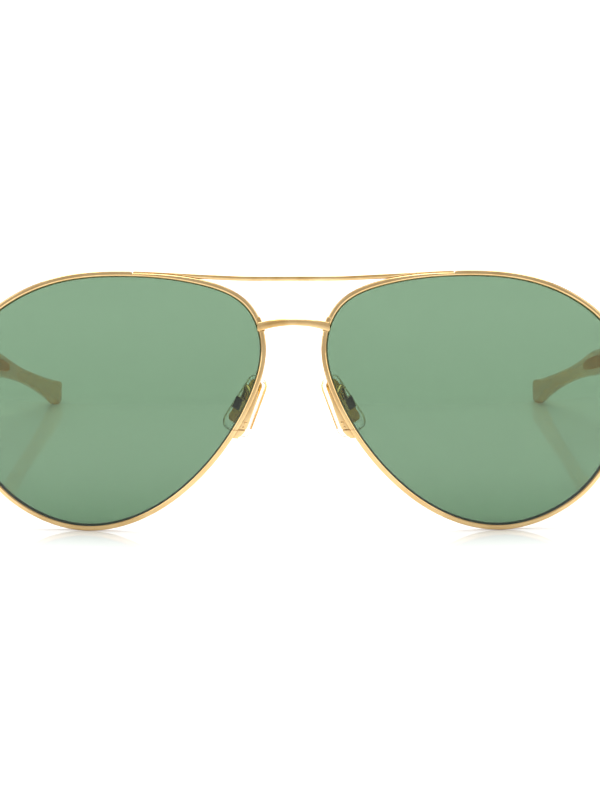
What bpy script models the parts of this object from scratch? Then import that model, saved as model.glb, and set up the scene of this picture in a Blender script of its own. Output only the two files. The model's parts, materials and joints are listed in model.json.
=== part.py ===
"""Aviator sunglasses with a double bridge, standing open on their rims and temple tips.

Every piece is drawn in millimetres in the front's own frame (x to the wearer's left, y back, z up)
and hangs on an empty that leans the front back and sets the rims and tips on z = 0.
"""
import math

import bmesh
import bpy
import numpy as np
from mathutils import Matrix, Vector

MM = 0.001

# Stance
LEAN = math.radians(4.0)            # the front leans back when the temple tips touch the table
BACK_SHIFT = 71.757                 # half the overall length, which centres the part on y = 0
LIFT = -0.31                        # sets the lowest edge of the rims on z = 0

# Lenses and rims
LENS_RADIUS = 100.0                 # spherical lenses
WRAP = math.radians(5.0)            # each lens turns this much round the face
LENS_CENTRE_X = 37.4
LENS_CENTRE_Z = 27.2
LENS_THICKNESS = 1.8
# Edge of the visible lens about its centre: u towards the temple, v up, clockwise from the top
LENS_OUTLINE = ((-3.0, 25.9), (10.0, 24.8), (21.2, 20.2), (28.7, 12.7), (31.0, 3.5), (29.5, -6.3),
                (24.5, -16.2), (16.0, -22.8), (6.0, -25.4), (-5.8, -22.8), (-15.8, -15.9),
                (-23.2, -7.2), (-28.4, 2.6), (-30.2, 11.5), (-27.1, 19.6), (-18.1, 24.1))
RIM_STATIONS = 60
RIM_WALL = 1.1                      # from the lens edge outwards
RIM_DEPTH = 2.0
RIM_CHAMFER = 0.25
GROOVE_DEPTH = 0.3
GROOVE_HALF_WIDTH = 0.4
LENS_EDGE_GAP = 0.2
GAP = 0.15                          # clearance between pieces that are brazed or screwed together

# Brow bar: it lies in a recess along the tops of the rims and ends at a notch
BAR_TOP_Z = 53.0
BAR_RISE = 1.17
BAR_FLAT_HALF = 10.0
BAR_END_X = 32.9
BAR_RECESS_START_X = 19.0
RECESS_REACH = 22.0                 # along the rim, enough to reach back to the recess's start
BAR_RECESS_WALL = 0.6               # what is left of the rim wall at the notch
BAR_HEIGHT = 0.9
BAR_DEPTH = 1.4
BAR_Y = 3.2
BAR_SHEAR = -0.26                   # its faces fall towards the back as the rims' do
NOTCH_WIDTH = 0.6                   # in which the rim wall steps up again past the bar

# Bridge: a low arch across the front of the rims
BRIDGE_HALF = 7.4
BRIDGE_END_Z = 42.9
BRIDGE_RISE = 1.0
BRIDGE_END_HEIGHT = 1.9
BRIDGE_MID_HEIGHT = 1.4
BRIDGE_FRONT_Y = 0.3
BRIDGE_DEPTH = 1.5

# Lock blocks, which close each rim round its lens on the nose side
SLIT_V = -5.35                      # height of the split below the lens centre
SLIT_WIDTH = 0.3
SLIT_SLANT = 0.55                   # the split is cut level, at this slope to the rim
SLIT_REACH = 3.5                    # the slope fades out over this length of rim
UPPER_BLOCK_LENGTH = 9.3
LOWER_BLOCK_LENGTH = 1.6
BLOCK_WIDTH = 1.35
BLOCK_TAPER = 1.2
BLOCK_FRONT = -0.75
BLOCK_BACK = 1.25
LOCK_SCREW_RADIUS = 0.2
LOCK_SCREW_REACH = 2.2
LOCK_HEAD_RADIUS = 0.33
LOCK_HEAD_RUN = (-1.15, -0.75)       # along the screw from the split, inside the lower block
LOCK_CLEARANCE = 0.15

# Nose pads
PAD_CENTRE = Vector((9.41, 10.8, 25.34))
PAD_LONG = Vector((0.373, 0.0, -0.928)).normalized()
PAD_SPLAY = math.radians(32.0)
# Sides of the pad and of its insert: along from the top down, across from the front back
PAD_OUTLINE = ((-6.5, -2.6), (6.4, -3.2), (6.4, 7.0), (-6.5, 2.6))
PAD_THICKNESS = 2.2
PAD_CORNER = 2.1
INSERT_OUTLINE = ((-5.6, -1.9), (4.4, -2.5), (4.4, 5.2), (-5.6, 1.7))
INSERT_THICKNESS = 0.7
INSERT_CORNER = 1.0
INSERT_TOP = PAD_THICKNESS / 2 - 0.45
POCKET_DEPTH = 1.3
PAD_PIVOT_OFFSET = 1.95             # from the pad's middle to its screw
LUG_RADIUS = 0.6
LUG_THICKNESS = 0.6
BOX_LENGTH = 2.6
BOX_WIDTH = 2.8
BOX_SLOT = 1.1
BOX_BACK_WALL = 0.4
BOX_MOUTH = 0.55                    # below the pad screw
PAD_SCREW_RADIUS = 0.22
PAD_SCREW_HOLE = 0.37
ARM_RADIUS = 0.5
ARM_ROOT = 0.62                     # share of the lock block's length
ARM_HEIGHT = 0.3                    # of its end above the pad screw

# Hinges
HINGE = Vector((67.8, 13.2, 38.9))
KNUCKLE_RADIUS = 1.3
HINGE_HALF_HEIGHT = 2.0
MIDDLE_HALF_HEIGHT = 0.65
SLOT_HALF_HEIGHT = 0.85
HINGE_HOLE = 0.65
HINGE_SCREW_RADIUS = 0.5
HINGE_HEAD_RADIUS = 0.85
HINGE_WEB_FRONT = -2.8
LEAF_LENGTH = 7.5
LEAF_HALF_HEIGHT = 1.5
TEMPLE_OFFSET = 2.2                 # from the hinge axis to the middle of the temple bar

# Temples, in the standing frame: distance behind the front, half spread, height, bar height
TEMPLE_ROUTE = ((15.2, 70.0, 38.0, 3.8), (40.0, 71.1, 31.9, 3.4), (65.0, 71.0, 25.7, 3.4),
                (84.0, 69.5, 21.0, 3.0), (98.0, 67.5, 17.7, 2.8), (104.0, 66.5, 16.1, 2.5),
                (109.5, 65.5, 14.45, 1.7))
BAR_THICKNESS = 1.2
CORE_THICKNESS = 1.1
# Tips: the same route carried on, with the sleeve's height and thickness
TIP_ROUTE = ((82.0, 69.75, 21.4, 5.0, 3.2), (98.0, 67.5, 17.4, 5.5, 3.4), (108.0, 65.8, 14.5, 4.2, 3.3),
             (118.0, 63.4, 11.2, 3.3, 3.0), (127.0, 60.5, 7.8, 3.6, 2.8), (135.0, 58.2, 4.75, 4.6, 2.6),
             (140.5, 56.6, 2.75, 5.5, 2.3), (142.8, 56.0, 2.55, 5.0, 1.9))
CORE_END = TEMPLE_ROUTE[-1][0]
POCKET_RUN = 1.5                    # the sleeve's pocket goes this much deeper than the core
POCKET_CLEARANCE = 0.25


# ---------------------------------------------------------------- frames and curves

def lean_inverse(point):
    """A point of the standing frame, in the front's own frame."""
    x, y, z = point
    return Vector((x, y * math.cos(LEAN) - z * math.sin(LEAN), y * math.sin(LEAN) + z * math.cos(LEAN)))


def closed_spline(anchors, samples=2400):
    """Points along the closed cubic spline through the anchors."""
    points = np.array(anchors)
    count = len(points)
    after = np.roll(points, -1, axis=0)
    chord = np.linalg.norm(after - points, axis=1)
    matrix = np.zeros((count, count))
    slopes = (after - points) / chord[:, None]
    for i in range(count):
        matrix[i, i - 1] += chord[i - 1]
        matrix[i, i] += 2.0 * (chord[i - 1] + chord[i])
        matrix[i, (i + 1) % count] += chord[i]
    bend = np.linalg.solve(matrix, 6.0 * (slopes - np.roll(slopes, 1, axis=0)))
    knots = np.concatenate(([0.0], np.cumsum(chord)))
    curve = []
    for t in np.linspace(0.0, knots[-1], samples, endpoint=False):
        i = min(int(np.searchsorted(knots, t, "right")) - 1, count - 1)
        j = (i + 1) % count
        a = knots[i + 1] - t
        b = t - knots[i]
        h = chord[i]
        curve.append(bend[i] * a ** 3 / (6 * h) + bend[j] * b ** 3 / (6 * h)
                     + (points[i] / h - bend[i] * h / 6) * a + (points[j] / h - bend[j] * h / 6) * b)
    return np.array(curve)


class RimLine:
    """The lens edge on the lens sphere, measured by its arc length from the nose-side split."""

    def __init__(self):
        curve = closed_spline(LENS_OUTLINE)
        nasal = np.where(curve[:, 0] < -15.0, np.abs(curve[:, 1] - SLIT_V), np.inf)
        curve = np.roll(curve, -int(np.argmin(nasal)), axis=0)
        self.curve = np.vstack((curve, curve[:1]))
        steps = np.linalg.norm(np.diff(self.curve, axis=0), axis=1)
        self.lengths = np.concatenate(([0.0], np.cumsum(steps)))
        self.perimeter = float(self.lengths[-1])

    def edge(self, s):
        s = s % self.perimeter
        u = float(np.interp(s, self.lengths, self.curve[:, 0]))
        v = float(np.interp(s, self.lengths, self.curve[:, 1]))
        return u, v

    def where(self, test):
        """Arc length of the outline point that has the lowest test value."""
        scores = [test(u, v) for u, v in self.curve]
        return float(self.lengths[int(np.argmin(scores))])


RIM = RimLine()


def lens_surface(u, v, offset=0.0):
    """Lens frame point (u, depth, v) on the lens sphere, moved back by offset along its normal."""
    depth = LENS_RADIUS - math.sqrt(LENS_RADIUS ** 2 - u * u - v * v)
    back = Vector((-u, LENS_RADIUS - depth, -v)) / LENS_RADIUS
    return Vector((u, depth, v)) + back * offset


def lens_to_front(side, point):
    """Turn a lens frame point round the face and set it on its side of the front."""
    u, depth, v = point
    x = LENS_CENTRE_X + u * math.cos(WRAP) - depth * math.sin(WRAP)
    y = u * math.sin(WRAP) + depth * math.cos(WRAP)
    return Vector((side * x, y, LENS_CENTRE_Z + v))


def rim_point(side, s, out, back):
    """Front frame point at arc length s, this far outwards from the lens edge and this far back."""
    u, v = RIM.edge(s)
    before = lens_surface(*RIM.edge(s - 0.4))
    after = lens_surface(*RIM.edge(s + 0.4))
    normal = (lens_surface(u, v, 1.0) - lens_surface(u, v)).normalized()
    outwards = (after - before).cross(normal).normalized()
    if outwards.x * u + outwards.z * v < 0.0:
        outwards.negate()
    return lens_to_front(side, lens_surface(u, v, back) + outwards * out)


def split_point(side, s, out, back):
    """Like rim_point, but sheared along the rim near the split, so that its cut faces are level."""
    near = abs((s + RIM.perimeter / 2) % RIM.perimeter - RIM.perimeter / 2)
    return rim_point(side, s + SLIT_SLANT * out * max(0.0, 1.0 - near / SLIT_REACH), out, back)


def rounded_rectangle(length, width, corner, per_corner=6):
    """Points of a rectangle with round corners, centred on the origin."""
    points = []
    for quarter in range(4):
        middle = math.pi / 4 + quarter * math.pi / 2
        centre_x = math.copysign(length / 2 - corner, math.cos(middle))
        centre_y = math.copysign(width / 2 - corner, math.sin(middle))
        for k in range(per_corner):
            angle = quarter * math.pi / 2 + k * math.pi / 2 / (per_corner - 1)
            points.append((centre_x + corner * math.cos(angle), centre_y + corner * math.sin(angle)))
    return points


def rounded_outline(corners, grow, radius, steps=5):
    """A four-sided outline with every side moved outwards by grow and its corners rounded."""
    moved = []
    for k, corner in enumerate(corners):
        here = Vector(corner)
        before = (here - Vector(corners[k - 1])).normalized()
        after = (Vector(corners[(k + 1) % 4]) - here).normalized()
        normals = (Vector((before.y, -before.x)), Vector((after.y, -after.x)))
        middle = (normals[0] + normals[1]) / (1.0 + normals[0].dot(normals[1]))
        centre = here + middle * (grow - radius)
        first = math.atan2(normals[0].y, normals[0].x)
        turn = normals[0].angle(normals[1])
        for step in range(steps + 1):
            angle = first + turn * step / steps
            moved.append((centre.x + radius * math.cos(angle), centre.y + radius * math.sin(angle)))
    return moved


def smooth_route(route, places):
    """Rows of the route read at the given first-column values, through a smooth curve."""
    table = np.array(route)
    x = table[:, 0]
    slopes = np.gradient(table[:, 1:], x, axis=0)
    rows = []
    for place in places:
        i = int(np.clip(np.searchsorted(x, place) - 1, 0, len(x) - 2))
        h = x[i + 1] - x[i]
        t = (place - x[i]) / h
        row = ((2 * t ** 3 - 3 * t ** 2 + 1) * table[i, 1:] + (t ** 3 - 2 * t ** 2 + t) * h * slopes[i]
               + (3 * t ** 2 - 2 * t ** 3) * table[i + 1, 1:] + (t ** 3 - t ** 2) * h * slopes[i + 1])
        rows.append((place, *row))
    return rows


# ---------------------------------------------------------------- mesh helpers

def loft(rings, closed=False, mesh=None):
    """Skin rings of equal length, with flat ends unless the rings close on themselves."""
    mesh = mesh or bmesh.new()
    rows = [[mesh.verts.new(point) for point in ring] for ring in rings]
    pairs = list(zip(rows, rows[1:]))
    if closed:
        pairs.append((rows[-1], rows[0]))
    for first, second in pairs:
        for k in range(len(first)):
            mesh.faces.new((first[k - 1], first[k], second[k], second[k - 1]))
    if not closed:
        mesh.faces.new(rows[0])
        mesh.faces.new(rows[-1])
    return mesh


def box(low, high):
    """A box between two corners."""
    corners = [[(x, y, z) for x, y in ((low[0], low[1]), (high[0], low[1]), (high[0], high[1]), (low[0], high[1]))]
               for z in (low[2], high[2])]
    return loft(corners)


def turned(profile, segments=16):
    """A solid turned about z from (radius, height) steps, starting and ending with a flat face."""
    angles = [2 * math.pi * k / segments for k in range(segments)]
    return loft([[(r * math.cos(a), r * math.sin(a), z) for a in angles] for r, z in profile])


def prism(outline, low, high):
    """An outline in x and y, extruded between two heights."""
    return loft([[(x, y, z) for x, y in outline] for z in (low, high)])


def placed(mesh, origin, x_axis, y_axis, z_axis):
    """Move a mesh drawn about the origin to its own axes at origin."""
    matrix = Matrix((x_axis, y_axis, z_axis)).transposed().to_4x4()
    matrix.translation = origin
    mesh.transform(matrix)
    return mesh


def mirrored(side, mesh):
    """The mesh as drawn for the left, or its mirror image for the right."""
    if side < 0:
        mesh.transform(Matrix.Diagonal((-1.0, 1.0, 1.0, 1.0)))
    return mesh


# ---------------------------------------------------------------- materials

def material(name, colour, roughness, metallic=0.0, transmission=0.0):
    made = bpy.data.materials.new(name)
    made.use_nodes = True
    shader = made.node_tree.nodes["Principled BSDF"]
    shader.inputs["Base Color"].default_value = (*colour, 1.0)
    shader.inputs["Roughness"].default_value = roughness
    shader.inputs["Metallic"].default_value = metallic
    shader.inputs["Transmission Weight"].default_value = transmission
    return made


def make_materials():
    gold = (0.73, 0.46, 0.18)
    return {
        "rim_gold": material("rim_gold", gold, 0.18, 1.0),
        "bridge_gold": material("bridge_gold", gold, 0.15, 1.0),
        "temple_gold": material("temple_gold", gold, 0.2, 1.0),
        "hinge_gold": material("hinge_gold", (0.68, 0.42, 0.16), 0.28, 1.0),
        "insert_gold": material("insert_gold", (0.75, 0.42, 0.12), 0.3, 1.0),
        "screw_gold": material("screw_gold", (0.7, 0.47, 0.22), 0.25, 1.0),
        "green_glass": material("green_glass", (0.25, 0.40, 0.275), 0.03, 0.0, 0.8),
        "clear_silicone": material("clear_silicone", (0.92, 0.92, 0.9), 0.15, 0.0, 0.8),
        "honey_acetate": material("honey_acetate", (0.82, 0.51, 0.25), 0.12, 0.0, 0.3),
    }


# ---------------------------------------------------------------- objects and anchors

class Anchor:
    """An empty that pieces hang on, at a pivot in the front's frame."""

    def __init__(self, name, pivot=(0.0, 0.0, 0.0), parent=None):
        self.pivot = Vector(pivot)
        self.empty = bpy.data.objects.new(name, None)
        bpy.context.scene.collection.objects.link(self.empty)
        self.empty.parent = parent
        self.empty.location = self.pivot * MM

    def add(self, name, mesh, finish=None, smooth=None):
        """Make an object of the mesh; one with no finish is a hidden tool for a Boolean."""
        bmesh.ops.recalc_face_normals(mesh, faces=mesh.faces)
        mesh.transform(Matrix.Scale(MM, 4) @ Matrix.Translation(-self.pivot))
        data = bpy.data.meshes.new(name)
        mesh.to_mesh(data)
        mesh.free()
        made = bpy.data.objects.new(name, data)
        bpy.context.scene.collection.objects.link(made)
        made.parent = self.empty
        if finish is None:
            made.hide_render = True
            made.display_type = "WIRE"
        else:
            data.materials.append(finish)
        if smooth is not None:
            data.shade_smooth()
            data.set_sharp_from_angle(angle=math.radians(smooth))
        return made


def boolean(target, tool, operation="DIFFERENCE"):
    modifier = target.modifiers.new(tool.name, "BOOLEAN")
    modifier.operation = operation
    modifier.solver = "EXACT"
    modifier.object = tool


# ---------------------------------------------------------------- front

def from_bar_end(u, v):
    """How far a point of the lens outline's top is from the brow bar's end."""
    return abs(lens_to_front(1, lens_surface(u, v)).x - BAR_END_X) + (100.0 if v < 18.0 else 0.0)


NOTCH = RIM.where(from_bar_end)


def rim_wall(s):
    """The rim's wall at arc length s: thinner in the recess under the brow bar."""
    if not NOTCH - RECESS_REACH < s <= NOTCH:
        return RIM_WALL
    share = (rim_point(1, s, RIM_WALL, 0.0).x - BAR_RECESS_START_X) / (BAR_END_X - BAR_RECESS_START_X)
    return RIM_WALL + (BAR_RECESS_WALL - RIM_WALL) * min(max(share, 0.0), 1.0)


def rim_section(wall):
    """Half the rim's section is (outwards, back) points; it holds a V groove for the lens."""
    half = RIM_DEPTH / 2
    outer = min(RIM_CHAMFER, wall / 3)
    back_half = [(GROOVE_DEPTH, 0.0), (0.0, GROOVE_HALF_WIDTH), (0.0, half - RIM_CHAMFER),
                 (RIM_CHAMFER / 2, half), (wall - outer, half), (wall, half - RIM_CHAMFER)]
    front_half = [(out, -back) for out, back in reversed(back_half[1:])]
    return back_half + front_half


def rim_arcs():
    """Arc lengths of the rim's stations, with the notch's own stations among them."""
    start = SLIT_WIDTH / 2
    arcs = list(np.linspace(start, RIM.perimeter - start, RIM_STATIONS))
    at_notch = [NOTCH - 2.0, NOTCH, NOTCH + NOTCH_WIDTH]
    return sorted([s for s in arcs if not at_notch[0] < s < at_notch[-1]] + at_notch)


def add_rim(front, name, side, finish):
    rings = [[split_point(side, s, out, back) for out, back in rim_section(rim_wall(s))]
             for s in rim_arcs()]
    front.add("rim_" + name, loft(rings), finish, smooth=35)


def add_lens(front, name, side, finish):
    half = LENS_THICKNESS / 2
    arcs = [RIM.perimeter * k / RIM_STATIONS for k in range(RIM_STATIONS)]
    outline = [RIM.edge(s) for s in arcs]

    def face_ring(share, offset):
        return [lens_to_front(side, lens_surface(u * share, v * share, offset)) for u, v in outline]

    def edge_ring(out, back):
        return [rim_point(side, s, out, back) for s in arcs]

    bevel = GROOVE_HALF_WIDTH - 0.1
    rings = [face_ring(share, -half) for share in (0.15, 0.5, 0.8)]
    rings += [edge_ring(-LENS_EDGE_GAP, -half), edge_ring(-LENS_EDGE_GAP, -bevel), edge_ring(0.05, 0.0)]
    rings += [edge_ring(-LENS_EDGE_GAP, bevel), edge_ring(-LENS_EDGE_GAP, half)]
    rings += [face_ring(share, half) for share in (0.8, 0.5, 0.15)]
    front.add("lens_" + name, loft(rings), finish, smooth=35)


def bar_top(x):
    """Height of the brow bar's top: flat in the middle, then rising in a soft corner."""
    past = abs(x) - BAR_FLAT_HALF
    ramp = 0.5 * (past + math.sqrt(past * past + 4.0))
    return BAR_TOP_Z + BAR_RISE * ramp / (BAR_END_X - BAR_FLAT_HALF)


def rim_top(x):
    """Height of the recessed rim top under the brow bar, at this half width."""
    arcs = np.linspace(NOTCH, NOTCH - RECESS_REACH, 60)
    points = [rim_point(1, s, rim_wall(s), 0.0) for s in arcs]
    points.sort(key=lambda point: point.x)
    return float(np.interp(abs(x), [p.x for p in points], [p.z for p in points], left=0.0))


def add_brow_bar(front, finish):
    half = BAR_DEPTH / 2
    soft = 0.2
    rings = []
    for x in np.linspace(-BAR_END_X + 0.15, BAR_END_X - 0.15, 33):
        top = bar_top(x)
        bottom = max(top - BAR_HEIGHT, rim_top(x) + GAP)
        section = ((-half, bottom + soft / 2), (-half, top - soft), (soft - half, top), (half - soft, top),
                   (half, top - soft), (half, bottom + soft / 2), (half - soft, bottom), (soft - half, bottom))
        rings.append([Vector((x, BAR_Y + y, z + BAR_SHEAR * y)) for y, z in section])
    front.add("brow_bar", loft(rings), finish, smooth=40)


def add_bridge(front, finish):
    soft = 0.25
    rings = []
    for x in np.linspace(-BRIDGE_HALF, BRIDGE_HALF, 17):
        share = (x / BRIDGE_HALF) ** 2
        middle = BRIDGE_END_Z + BRIDGE_RISE * (1.0 - share)
        half = 0.5 * (BRIDGE_MID_HEIGHT + (BRIDGE_END_HEIGHT - BRIDGE_MID_HEIGHT) * share)
        near = BRIDGE_FRONT_Y
        far = BRIDGE_FRONT_Y + BRIDGE_DEPTH
        section = ((near, half - soft), (near + soft, half), (far - soft, half), (far, half - soft),
                   (far, soft - half), (far - soft, -half), (near + soft, -half), (near, soft - half))
        rings.append([Vector((x, y, middle + z)) for y, z in section])
    front.add("bridge", loft(rings), finish, smooth=40)


def block_width(share):
    """Width of the upper lock block, which runs out along the rim."""
    return BLOCK_WIDTH - BLOCK_TAPER * share ** 1.4


def block_rings(side, arcs, widths):
    rings = []
    for s, width in zip(arcs, widths):
        inner = RIM_WALL + GAP
        corners = ((inner, BLOCK_FRONT), (inner + width, BLOCK_FRONT), (inner + width, BLOCK_BACK),
                   (inner, BLOCK_BACK))
        rings.append([split_point(side, s, out, back) for out, back in corners])
    return rings


def add_lock(front, name, side, finishes):
    start = SLIT_WIDTH / 2
    shares = np.linspace(0.0, 1.0, 9)
    arcs = [start + UPPER_BLOCK_LENGTH * share for share in shares]
    upper = front.add("lock_block_upper_" + name,
                      loft(block_rings(side, arcs, [block_width(share) for share in shares])),
                      finishes["rim_gold"])
    arcs = [-start - LOWER_BLOCK_LENGTH * share for share in shares]
    widths = [BLOCK_WIDTH * math.sqrt(1.0 - 0.9 * share ** 2) for share in shares]
    lower = front.add("lock_block_lower_" + name, loft(block_rings(side, arcs, widths)),
                      finishes["rim_gold"])

    out = RIM_WALL + GAP + BLOCK_WIDTH / 2
    depth = (BLOCK_FRONT + BLOCK_BACK) / 2
    origin = rim_point(side, 0.0, out, depth)
    up = (rim_point(side, 1.0, out, depth) - rim_point(side, -1.0, out, depth)).normalized()
    across = (rim_point(side, 0.0, out, 1.0) - rim_point(side, 0.0, out, -1.0))
    across = (across - up * across.dot(up)).normalized()
    axes = (across, up.cross(across), up)
    steps = ((LOCK_HEAD_RADIUS, LOCK_HEAD_RUN[0]), (LOCK_HEAD_RADIUS, LOCK_HEAD_RUN[1]),
             (LOCK_SCREW_RADIUS, LOCK_HEAD_RUN[1]), (LOCK_SCREW_RADIUS, LOCK_SCREW_REACH))
    wide = [(radius + LOCK_CLEARANCE, height + LOCK_CLEARANCE) for radius, height in steps]
    wide[0] = (wide[0][0], -2.0 * LOWER_BLOCK_LENGTH)
    cutter = front.add("lock_hole_" + name, placed(turned(wide, 12), origin, *axes))
    boolean(upper, cutter)
    boolean(lower, cutter)
    front.add("lock_screw_" + name, placed(turned(steps, 12), origin, *axes), finishes["screw_gold"], 35)


# ---------------------------------------------------------------- nose pads

class PadAxes:
    """Directions of one nose pad: along it, across it front to back, and away from the nose."""

    def __init__(self, side):
        level = Vector((-PAD_LONG.z, 0.0, PAD_LONG.x))
        self.long = PAD_LONG.copy()
        self.across = Vector((0.0, math.cos(PAD_SPLAY), 0.0)) + level * math.sin(PAD_SPLAY)
        self.away = self.long.cross(self.across).normalized()
        self.centre = PAD_CENTRE.copy()
        for vector in (self.long, self.across, self.away, self.centre):
            vector.x *= side
        self.pivot = self.centre + self.away * PAD_PIVOT_OFFSET

    def place(self, mesh, origin):
        return placed(mesh, origin, self.long, self.across, self.away)


def pad_mesh():
    """Clear pad: a domed rounded slab with a pocket in its back for the insert."""
    half = PAD_THICKNESS / 2
    layers = ((-1.3, -half), (-0.45, -half + 0.4), (0.0, -0.1), (-0.1, half - 0.2), (-0.3, half))
    rings = [[(x, y, height) for x, y in rounded_outline(PAD_OUTLINE, grow, PAD_CORNER + grow)]
             for grow, height in layers]
    pocket = rounded_outline(INSERT_OUTLINE, GAP, INSERT_CORNER + GAP)
    rings.append([(x, y, half) for x, y in pocket])
    rings.append([(x, y, half - POCKET_DEPTH) for x, y in pocket])
    return loft(rings)


def insert_plate_mesh():
    """Metal plate carried in the pad's pocket."""
    return prism(rounded_outline(INSERT_OUTLINE, 0.0, INSERT_CORNER), INSERT_TOP - INSERT_THICKNESS,
                 INSERT_TOP)


def lug_mesh():
    """Rounded tongue that rises from the insert to the pad screw."""
    base = INSERT_TOP - INSERT_THICKNESS / 2
    outline = [(-LUG_RADIUS, base), (LUG_RADIUS, base)]
    for k in range(9):
        angle = math.pi * k / 8
        outline.append((LUG_RADIUS * math.cos(angle), PAD_PIVOT_OFFSET + LUG_RADIUS * math.sin(angle)))
    half = LUG_THICKNESS / 2
    return loft([[(x, y, z) for x, z in outline] for y in (-half, half)])


def cross_screw(radius, half, segments=12):
    """A plain round bar along the pad's across direction."""
    angles = [2 * math.pi * k / segments for k in range(segments)]
    return loft([[(radius * math.cos(a), y, radius * math.sin(a)) for a in angles] for y in (-half, half)])


def add_nose_pad(front, name, side, finishes):
    axes = PadAxes(side)
    rocker = Anchor("nose_pad_%s_axis" % name, axes.pivot, front.empty)
    rocker.add("nose_pad_" + name, axes.place(pad_mesh(), axes.centre), finishes["clear_silicone"], 50)
    insert = rocker.add("pad_insert_" + name, axes.place(insert_plate_mesh(), axes.centre),
                        finishes["insert_gold"], 35)
    boolean(insert, rocker.add("pad_lug_" + name, axes.place(lug_mesh(), axes.centre)), "UNION")
    hole = front.add("pad_screw_hole_" + name,
                     axes.place(cross_screw(PAD_SCREW_HOLE, BOX_WIDTH), axes.pivot))
    boolean(insert, hole)

    long = BOX_LENGTH / 2
    wide = BOX_WIDTH / 2
    back = LUG_RADIUS + GAP
    holder = front.add("pad_box_" + name,
                       axes.place(box((-long, -wide, -BOX_MOUTH), (long, wide, back + BOX_BACK_WALL)),
                                  axes.pivot), finishes["hinge_gold"])
    slot = box((-2 * long, -BOX_SLOT / 2, -2 * BOX_MOUTH), (2 * long, BOX_SLOT / 2, back))
    boolean(holder, front.add("pad_box_slot_" + name, axes.place(slot, axes.pivot)))
    boolean(holder, hole)
    front.add("pad_screw_" + name, axes.place(cross_screw(PAD_SCREW_RADIUS, wide + 0.15), axes.pivot),
              finishes["screw_gold"], 35)
    add_pad_arm(front, name, side, axes, finishes["rim_gold"])


def add_pad_arm(front, name, side, axes, finish):
    """Bent wire from the back of the upper lock block, over the pad's top, down to its box."""
    root = rim_point(side, ARM_ROOT * UPPER_BLOCK_LENGTH, RIM_WALL + GAP + 0.3, BLOCK_BACK + GAP)
    end = axes.pivot + axes.away * ARM_HEIGHT - axes.long * (BOX_LENGTH / 2 + GAP)
    backwards = Vector((0.0, 1.0, 0.0))
    route = (root, root + backwards * 1.2, root + backwards * 3.2 - axes.long * 0.7,
             end - axes.long * 2.6 - backwards * 0.4, end - axes.long * 1.2, end)
    steps = np.arange(len(route))
    rows = smooth_route([(k, *point) for k, point in zip(steps, route)], np.linspace(0, len(route) - 1, 15))
    data = bpy.data.curves.new("pad_arm_" + name, "CURVE")
    data.dimensions = "3D"
    spline = data.splines.new("POLY")
    spline.points.add(len(rows) - 1)
    for point, row in zip(spline.points, rows):
        point.co = (row[1] * MM, row[2] * MM, row[3] * MM, 1.0)
    data.bevel_depth = ARM_RADIUS * MM
    data.bevel_resolution = 2
    data.use_fill_caps = True
    data.materials.append(finish)
    wire = bpy.data.objects.new("pad_arm_" + name, data)
    bpy.context.scene.collection.objects.link(wire)
    wire.parent = front.empty


# ---------------------------------------------------------------- hinges and temples

def add_end_piece(front, name, side, finish):
    """Plate from the rim's temple side back to the hinge."""
    s = RIM.where(lambda u, v: abs(v - (HINGE.z - LENS_CENTRE_Z)) + (100.0 if u < 0 else 0.0))
    root = rim_point(1, s, RIM_WALL + GAP, 0.2)
    corners = ((1, 0.8), (0.6, 1), (-0.6, 1), (-1, 0.8), (-1, -0.8), (-0.6, -1), (0.6, -1), (1, -0.8))
    rings = [[rim_point(1, s - 1.5 * b, RIM_WALL + GAP, 0.2 - 0.75 * a) for a, b in corners]]
    end_x = HINGE.x + TEMPLE_OFFSET
    route = ((root.x + 1.1, root.y + 0.25, 0.7, 0.25), (end_x - 0.25, root.y + 1.3, 0.65, 0.75),
             (end_x, root.y + 2.6, 0.6, 1.0), (end_x, HINGE.y - 1.35, 0.6, 1.0))
    for x, y, half, turn in route:
        angle = turn * math.pi / 2
        across = Vector((math.sin(angle), -math.cos(angle), 0.0)) * half
        tall = 1.5 + 0.4 * turn
        centre = Vector((x, y, HINGE.z))
        rings.append([centre + across * a + Vector((0.0, 0.0, tall * b)) for a, b in corners])
    front.add("end_piece_" + name, mirrored(side, loft(rings)), finish, smooth=30)


def knuckle_outline(far):
    """Half circle about the hinge axis with straight sides running to far along y."""
    turn = 1.0 if far < 0 else -1.0
    points = []
    for k in range(13):
        angle = turn * math.pi * k / 12
        points.append((KNUCKLE_RADIUS * math.cos(angle), KNUCKLE_RADIUS * math.sin(angle)))
    return points + [(-KNUCKLE_RADIUS, far), (KNUCKLE_RADIUS, far)]


def at_hinge(side, mesh):
    mesh.transform(Matrix.Translation(HINGE))
    return mirrored(side, mesh)


def add_front_hinge(front, name, side, finishes):
    body = front.add("front_hinge_" + name,
                     at_hinge(side, prism(knuckle_outline(HINGE_WEB_FRONT), -HINGE_HALF_HEIGHT,
                                          HINGE_HALF_HEIGHT)), finishes["hinge_gold"], 35)
    slot = box((-3.0, -KNUCKLE_RADIUS - 0.3, -SLOT_HALF_HEIGHT), (3.0, 3.0, SLOT_HALF_HEIGHT))
    boolean(body, front.add("front_hinge_slot_" + name, at_hinge(side, slot)))
    reach = 2 * HINGE_HALF_HEIGHT
    hole = turned(((HINGE_HOLE, -reach), (HINGE_HOLE, reach)))
    boolean(body, front.add("front_hinge_hole_" + name, at_hinge(side, hole)))
    top = HINGE_HALF_HEIGHT + GAP
    steps = ((HINGE_SCREW_RADIUS, -HINGE_HALF_HEIGHT - 0.1), (HINGE_SCREW_RADIUS, top),
             (HINGE_HEAD_RADIUS, top), (HINGE_HEAD_RADIUS, top + 0.4))
    front.add("hinge_screw_" + name, at_hinge(side, turned(steps)), finishes["screw_gold"], 35)


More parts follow.
